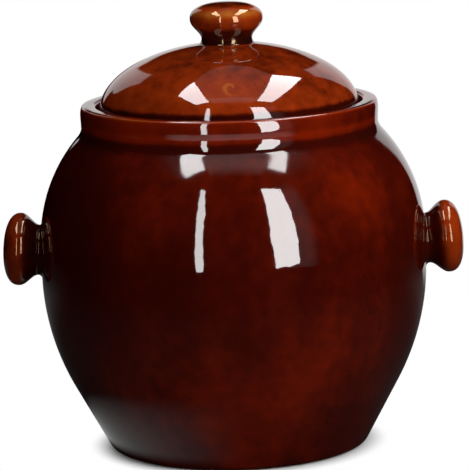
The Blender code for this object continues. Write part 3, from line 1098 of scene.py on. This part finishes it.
class CROCK_OT_lid_knob(Operator):
    """Make the knob on the lid"""

    bl_idname = "crock_fermenter.lid_knob"
    bl_label = "Lid knob"

    def thinness(self, sizes, place):
        """Amber above the widest part and at the joint, and gathered in the neck and on the crown."""
        above = place.y - sizes.flare - sizes.underside
        amber = band(KNOB_AMBER, above) + onset(KNOB_JOINT_THIN, place.y)
        gathered = onset(KNOB_NECK_POOL, above) + onset(KNOB_CROWN_POOL, above)
        return KNOB_THINNESS + amber - gathered

    def execute(self, context):
        sizes, lid, look = context.scene.crock_knobs, context.scene.crock_lid, context.scene.crock_glaze
        rows = [(place.x, place.y, self.thinness(sizes, place), 0.0) for place in knob_path(sizes)]
        seat = lid.seat + lid.skirt + lid.rise

        def place(radius, height, turn):
            lower = lid.rise * (1 - math.sqrt(1 - (radius / lid.radius) ** 2)) + sizes.sink
            drop = lower * max(0.0, 1 - height / sizes.flare)
            point = round_about(radius, seat + height - drop, turn)
            wave = ripple(point * KNOB_WAVES, look.ripple) if radius > KNOB_CALM else 0.0
            return round_about(radius - wave, point.z, turn)

        knob = turned("lid_knob_glazed", rows, even_turns(KNOB_TURN), place)
        material = glaze(
            "lid_knob_glaze", look, look.tawny, clouds=0.20, runs=0.10, mottle=0.40, flecks=0.10,
            tint=look.sheen,
        )
        settle(knob, "lid", "trim_glaze", material, "lid_knob")
        return {"FINISHED"}


class CROCK_OT_stones(Operator):
    """Make the two half-round weight stones"""

    bl_idname = "crock_fermenter.stones"
    bl_label = "Weight stones"

    def execute(self, context):
        sizes, look = context.scene.crock_stones, context.scene.crock_glaze
        material = clay_material("weight_stone_clay", look)
        outer = math.acos(sizes.split / 2 / sizes.radius)
        thumb = math.acos(sizes.split / 2 / sizes.thumb)
        outline = arc((0.0, 0.0), sizes.radius, -outer, outer)
        outline = walk(outline, arc((0.0, 0.0), sizes.thumb, thumb, -thumb))
        outline += leg(outline[-1], outline[0])[:-1]
        for side, label in ((1, "right"), (-1, "left")):
            shape = bmesh.new()
            corners = [shape.verts.new((side * place.x, place.y, sizes.rest)) for place in outline]
            base = shape.faces.new(corners)
            raised = bmesh.ops.extrude_face_region(shape, geom=[base])["geom"]
            top = [item for item in raised if isinstance(item, bmesh.types.BMVert)]
            bmesh.ops.translate(shape, verts=top, vec=(0.0, 0.0, sizes.thickness))
            bmesh.ops.recalc_face_normals(shape, faces=shape.faces)
            mesh = bpy.data.meshes.new("weight_stone_" + label)
            shape.to_mesh(mesh)
            shape.free()
            mesh.polygons.foreach_set("use_smooth", [True] * len(mesh.polygons))
            stone = bpy.data.objects.new("weight_stone_" + label, mesh)
            context.scene.collection.objects.link(stone)
            edge = stone.modifiers.new("worn_edge", "BEVEL")
            edge.width = sizes.edge
            edge.segments = WORN_EDGE_STEPS
            edge.limit_method = "ANGLE"
            edge.angle_limit = WORN_EDGE_ANGLE
            edge.harden_normals = True
            settle(stone, label + "_weight_stone", "bare_stoneware", material, label + "_weight_stone")
        return {"FINISHED"}


# Studio


def set_out(thing, *hidden):
    """Put a thing in the scene, hidden from some kinds of rays."""
    for kind in hidden:
        setattr(thing, "visible_" + kind, False)
    bpy.context.scene.collection.objects.link(thing)


def face(thing, place, aim, roll=0.0):
    """Put a lamp or a camera at a place, looking at an aim."""
    thing.location = place
    thing.rotation_mode = "QUATERNION"
    facing = (aim - Vector(place)).to_track_quat("-Z", "Y")
    thing.rotation_quaternion = facing @ Euler((0.0, 0.0, roll)).to_quaternion()


def soft_light(name, place, level, width, height):
    """A soft light that gives the crock a share of full light and doesn't show in the gloss."""
    data = bpy.data.lights.new(name, "AREA")
    data.shape = "RECTANGLE"
    data.size = width
    data.size_y = height
    data.energy = level * (math.pi * (Vector(place) - LAMP_AIM).length) ** 2
    thing = bpy.data.objects.new(name, data)
    face(thing, place, LAMP_AIM)
    set_out(thing, "camera", "glossy", "transmission")


def panel(name, outline, place, brightness, fade=None):
    """A lit panel or black flag, seen only in the gloss of the glaze, fading out along y if asked."""
    mesh = bpy.data.meshes.new(name)
    mesh.from_pydata([tuple(place(*corner)) for corner in outline], [], [list(range(len(outline)))])
    material, web, shader = new_material(name)
    web.tree.nodes.remove(shader)
    if fade:
        brightness = web.ease(web.axes(web.here())["Y"], *fade, 0.0, brightness)
    light = web.add("Emission", Strength=brightness)
    web.put(web.tree.nodes["Material Output"], "Surface", light.outputs[0])
    mesh.materials.append(material)
    thing = bpy.data.objects.new(name, mesh)
    set_out(thing, "camera", "diffuse", "transmission", "volume_scatter", "shadow")


def upright(azimuth, distance):
    """An upright plane round the crock, its azimuth counted from the camera's side towards the right."""
    turn = math.radians(azimuth)
    outward = Vector((math.sin(turn), -math.cos(turn), 0.0))
    along = Vector((math.cos(turn), math.sin(turn), 0.0))
    return lambda across, height: outward * distance + along * across + Vector((0.0, 0.0, height))


def overhead(height):
    """A level plane over the crock."""
    return lambda across, along: Vector((across, along, height))


# Lit panels, cloths and black flags in the gloss: brightness as a share of the brightest, plane, and outline
PANELS = {
    "front_left_panel": (
        0.80, upright(-19.5, PANEL_AWAY),
        ((-0.13, 1.98), (-0.08, 1.00), (-0.055, -0.14), (0.07, -0.14), (0.065, 1.10), (-0.03, 1.98)),
    ),
    "front_right_panel": (
        1.0, upright(29.5, PANEL_AWAY),
        ((-0.20, 1.95), (-0.24, 0.50), (-0.18, -0.13), (0.05, -0.13), (0.24, -0.08), (0.22, 1.78)),
    ),
    "overhead_left_panel": (
        0.90, overhead(PANEL_OVER), ((-1.00, -0.10), (-0.47, 0.57), (-0.47, -0.90), (-0.90, -1.06)),
    ),
    "overhead_right_panel": (
        0.88, overhead(PANEL_OVER), ((0.58, 0.95), (1.11, 1.25), (1.16, -0.93), (0.68, -0.87)),
    ),
    "overhead_cloth": (
        0.014, overhead(CLOTH_OVER),
        (
            (-0.46, 0.60), (-0.20, 1.20), (0.03, 1.50), (0.30, 1.30), (0.58, 0.95),
            (0.66, -0.60), (-0.46, -0.60),
        ),
    ),
    "front_cloth": (
        0.040, overhead(CLOTH_OVER), ((-0.46, -0.60), (0.66, -0.60), (0.60, -1.18), (-0.40, -1.22)),
    ),
    "black_flag": (
        0.0, upright(180.0, FLAG_AWAY), ((0.122, 0.13), (0.35, 0.13), (0.35, 0.25), (0.122, 0.25)),
    ),
    "left_wing_flag": (
        0.0, overhead(WING_OVER),
        ((-0.0535, -0.090), (-0.0640, -0.126), (-0.100, -0.120), (-0.088, -0.082)),
    ),
    "right_wing_flag": (
        0.0, overhead(WING_OVER), ((0.062, -0.092), (0.0725, -0.132), (0.110, -0.120), (0.098, -0.074)),
    ),
}


def white_world(look):
    """White behind the crock for the camera and in its gloss, and dim light from all round."""
    world = bpy.data.worlds.new("studio")
    bpy.context.scene.world = world
    world.use_nodes = True
    world.node_tree.nodes.clear()
    web = Web(world.node_tree)
    rays = web.add("LightPath").outputs
    where = web.axes(web.add("TexCoord").outputs["Generated"])
    high = where["Z"]
    turn = web.maths("ARCTAN2", where["X"], where["Y"])
    aside = web.maths("ABSOLUTE", turn)

    def past(value, limit, before, after):
        return web.ease(web.maths("SUBTRACT", value, limit), -BACKDROP_EDGE, BACKDROP_EDGE, before, after)

    apart = web.most(web.maths("SUBTRACT", aside, BACKDROP_SLOPE_START), 0.0)
    top = web.plus(web.times(apart, BACKDROP_SLOPE), web.ease(aside, *MIDDLE_DIP))
    top = web.maths("MINIMUM", top, BACKDROP_TOP)
    right_side = web.ease(turn, *SIDES_MEET)
    reach = web.between(right_side, web.ease(high, *LEFT_REACH), web.ease(high, *RIGHT_REACH))
    low = web.between(right_side, LEFT_BOTTOM, RIGHT_BOTTOM)
    backdrop = web.times(past(high, top, BACKDROP_LEVEL, 0.0), past(aside, reach, 1.0, 0.0))
    backdrop = web.times(backdrop, past(high, low, 0.0, 1.0))
    beside = web.times(web.hump(turn, *SIDE_STRIP_TURN), web.hump(high, *SIDE_STRIP_HEIGHT))
    under = web.times(web.hump(aside, *LOW_STRIP_TURN), web.hump(high, *LOW_STRIP_HEIGHT))
    gloss = web.most(backdrop, web.most(beside, under))
    level = web.between(rays["Is Glossy Ray"], look.sky, gloss)
    seen = web.most(rays["Is Camera Ray"], rays["Is Transmission Ray"])
    background = web.add("Background", Color=WHITE, Strength=web.between(seen, level, 1.0))
    web.add("OutputWorld", Surface=background.outputs[0])


def floor_glow(web, away, spot):
    """How brightly the floor shows in the gloss: in a far sweep, near the foot, and faintly behind."""
    turn = web.maths("ARCTAN2", spot["X"], spot["Y"])
    sweep = web.times(web.hump(turn, *SWEEP_TURN), web.ease(away, *SWEEP_START))
    left = web.ease(web.maths("DIVIDE", spot["X"], away), *NEAR_SIDE)
    near = web.times(left, web.hump(away, *NEAR_RING))
    behind = web.times(web.ease(spot["Y"], *BEHIND_START), web.ease(away, *BEHIND_END))
    return web.most(web.most(sweep, near), behind)


def pale_floor(look):
    """A round pale floor that takes the shadow and turns white away from the crock."""
    shape = bmesh.new()
    bmesh.ops.create_circle(shape, cap_ends=True, segments=FLOOR_STEPS, radius=FLOOR_RADIUS)
    mesh = bpy.data.meshes.new("floor")
    shape.to_mesh(mesh)
    shape.free()
    floor = bpy.data.objects.new("floor", mesh)
    floor.location.z = -FLOOR_DROP
    bpy.context.scene.collection.objects.link(floor)
    material, web, shader = new_material("floor_paper")
    web.tree.nodes.remove(shader)
    rays = web.add("LightPath").outputs
    seen = web.most(rays["Is Camera Ray"], rays["Is Transmission Ray"])
    where = web.here()
    away = web.vectors("LENGTH", where)["Value"]
    glow = web.times(floor_glow(web, away, web.axes(where)), rays["Is Glossy Ray"])
    white = web.most(web.times(web.ease(away, *FLOOR_WHITE), seen), glow)
    grain = web.plus(web.cloud(where, scale=420.0, detail=3.0), 0.5)
    paper = web.blend(grain, tone([FLOOR_GRAIN * part for part in look.floor]), tone(look.floor))
    dark = web.ease(away, *FLOOR_BOUNCE)
    matt = web.add("BsdfDiffuse", Color=web.blend(seen, dark, paper)).outputs[0]
    bright = web.add("Emission", Color=WHITE, Strength=1.0).outputs[0]
    upper = web.fill(web.add("MixShader"), white, matt, bright)[0]
    underside = web.add("NewGeometry").outputs["Backfacing"]
    clear = web.add("BsdfTransparent").outputs[0]
    sided = web.fill(web.add("MixShader"), underside, upper, clear)[0]
    web.put(web.tree.nodes["Material Output"], "Surface", sided)
    mesh.materials.append(material)


class CROCK_OT_studio(Operator):
    """Set up the floor, the lamps and panels, and the camera"""

    bl_idname = "crock_fermenter.studio"
    bl_label = "Studio"

    def execute(self, context):
        look = context.scene.crock_studio
        context.scene.view_settings.view_transform = "Standard"
        white_world(look)
        pale_floor(look)
        for name, (level, plane, outline) in PANELS.items():
            fade = FRONT_CLOTH_FADE if name == "front_cloth" else None
            panel(name, outline, plane, level * look.reflector, fade)
        for label, (place, width, height) in LAMPS.items():
            soft_light(label + "_light", place, getattr(look, label), width, height)
        camera = bpy.data.objects.new("camera", bpy.data.cameras.new("camera"))
        camera.data.lens = look.lens
        camera.data.sensor_width = SENSOR_MILLIMETRES
        camera.data.clip_end = FARTHEST_VIEW
        back = Vector((0.0, -math.cos(look.elevation), math.sin(look.elevation)))
        face(camera, CAMERA_PIVOT + back * look.distance, CAMERA_AIM, look.roll)
        context.scene.collection.objects.link(camera)
        context.scene.camera = camera
        return {"FINISHED"}


PIECES = (
    CROCK_OT_body, CROCK_OT_handles, CROCK_OT_lid, CROCK_OT_lid_knob, CROCK_OT_stones, CROCK_OT_studio,
)


class CROCK_PT_panel(Panel):
    """The crock's pieces, sizes and finishes"""

    bl_idname = "CROCK_PT_panel"
    bl_label = "Crock Fermenter"
    bl_space_type = "VIEW_3D"
    bl_region_type = "UI"
    bl_category = "Crock"

    def draw(self, context):
        for piece in PIECES:
            self.layout.operator(piece.bl_idname)
        for name in SETTINGS:
            settings = getattr(context.scene, name)
            box = self.layout.box()
            for key in settings.__annotations__:
                box.prop(settings, key)


SETTINGS = {
    "crock_sizes": CrockSizes,
    "crock_lid": LidSizes,
    "crock_knobs": KnobSizes,
    "crock_stones": StoneSizes,
    "crock_glaze": GlazeLook,
    "crock_studio": StudioLook,
}


def register():
    """Add the settings, pieces and panel to Blender."""
    for name, kind in SETTINGS.items():
        bpy.utils.register_class(kind)
        setattr(bpy.types.Scene, name, PointerProperty(type=kind))
    for kind in (*PIECES, CROCK_PT_panel):
        bpy.utils.register_class(kind)


def unregister():
    """Take them out again."""
    for kind in (CROCK_PT_panel, *reversed(PIECES)):
        bpy.utils.unregister_class(kind)
    for name, kind in reversed(SETTINGS.items()):
        delattr(bpy.types.Scene, name)
        bpy.utils.unregister_class(kind)


def main():
    """Make every piece in order."""
    register()
    bpy.ops.crock_fermenter.body()
    bpy.ops.crock_fermenter.handles()
    bpy.ops.crock_fermenter.lid()
    bpy.ops.crock_fermenter.lid_knob()
    bpy.ops.crock_fermenter.stones()
    bpy.ops.crock_fermenter.studio()


if __name__ == "__main__":
    main()
